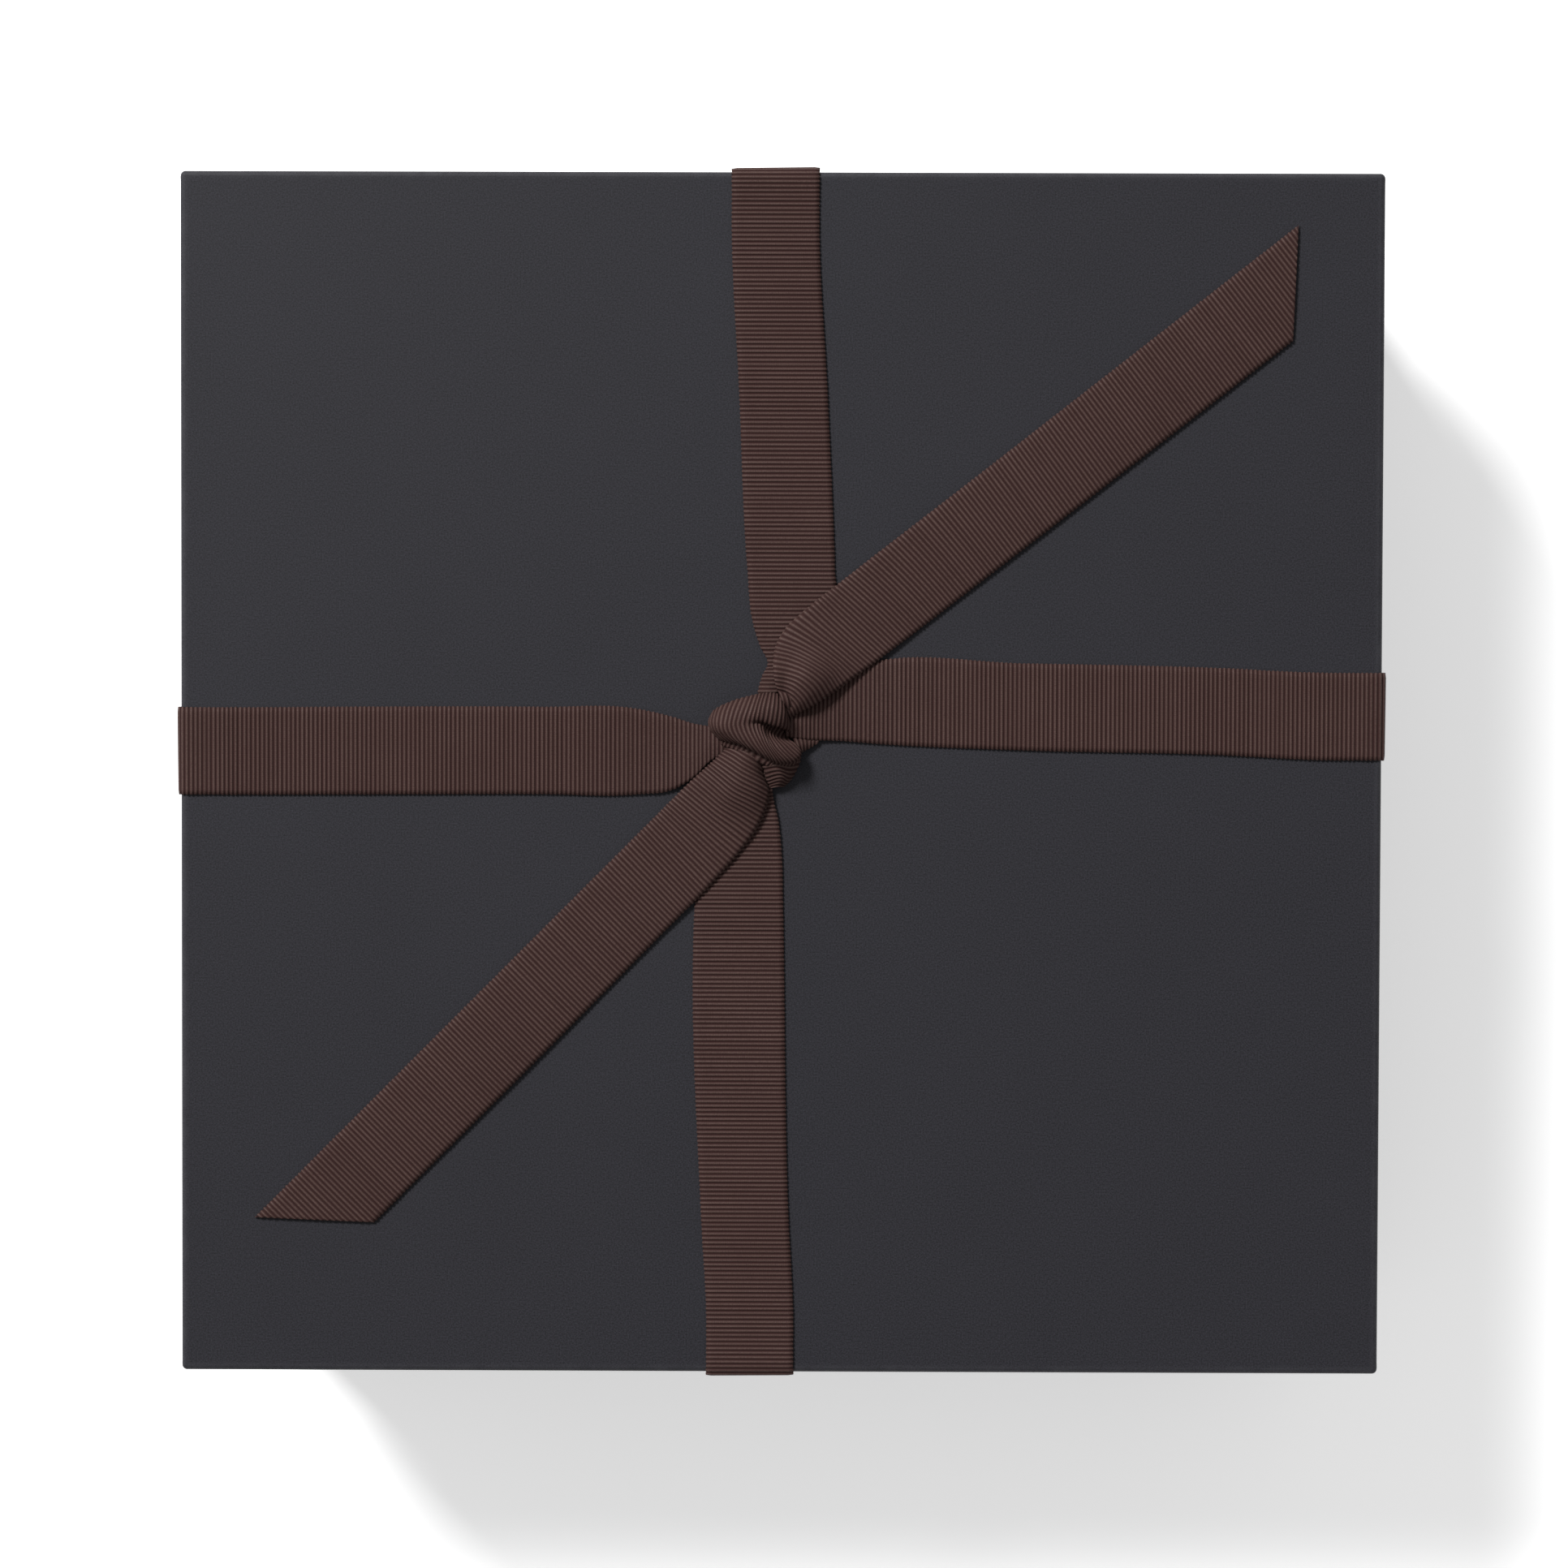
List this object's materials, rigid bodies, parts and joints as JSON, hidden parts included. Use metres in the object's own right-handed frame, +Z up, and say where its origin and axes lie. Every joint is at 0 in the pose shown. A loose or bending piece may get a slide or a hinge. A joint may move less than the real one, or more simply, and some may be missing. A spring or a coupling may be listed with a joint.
{
  "type": "gift box",
  "caption": "Rigid square gift box: a paper-covered tray with a lift-off lid, and a ribbed ribbon crossed over the lid and knotted with loose tails.",
  "frame": {"origin": "under the middle of the box, on the surface it stands on", "axes": "+Z up out of the lid, +X to the right and +Y to the back, square with the box's sides"},
  "size_m": [0.301, 0.301, 0.1097],
  "materials": {
    "greyboard": "matte",
    "stay_tape": "matte",
    "wrap_paper": "matte",
    "lining_paper": "matte",
    "ribbon": "satin",
    "patch_tape": "satin"
  },
  "bodies": {
    "base": {"base_floor_board": "greyboard", "base_wall_front": "greyboard", "base_wall_back": "greyboard", "base_wall_left": "greyboard", "base_wall_right": "greyboard", "base_corner_stays": "stay_tape", "base_wrap": "wrap_paper", "base_bottom_sheet": "wrap_paper", "base_wall_lining": "lining_paper", "base_floor_lining": "lining_paper"},
    "lid": {"lid_top_board": "greyboard", "lid_wall_front": "greyboard", "lid_wall_back": "greyboard", "lid_wall_left": "greyboard", "lid_wall_right": "greyboard", "lid_corner_stays": "stay_tape", "lid_wrap": "wrap_paper", "lid_lining": "lining_paper", "ribbon_arm_front": "ribbon", "ribbon_arm_back": "ribbon", "ribbon_arm_left": "ribbon", "ribbon_arm_right": "ribbon", "ribbon_tail_front_left": "ribbon", "ribbon_tail_back_right": "ribbon", "ribbon_knot_core": "ribbon", "ribbon_knot_band": "ribbon", "ribbon_tape_patches": "patch_tape"}
  },
  "joints": [
    {"name": "lid_lift", "type": "slide", "parent": "base", "child": "lid", "axis": [0, 0, 1], "range_m": [0, 0.15]}
  ]
}
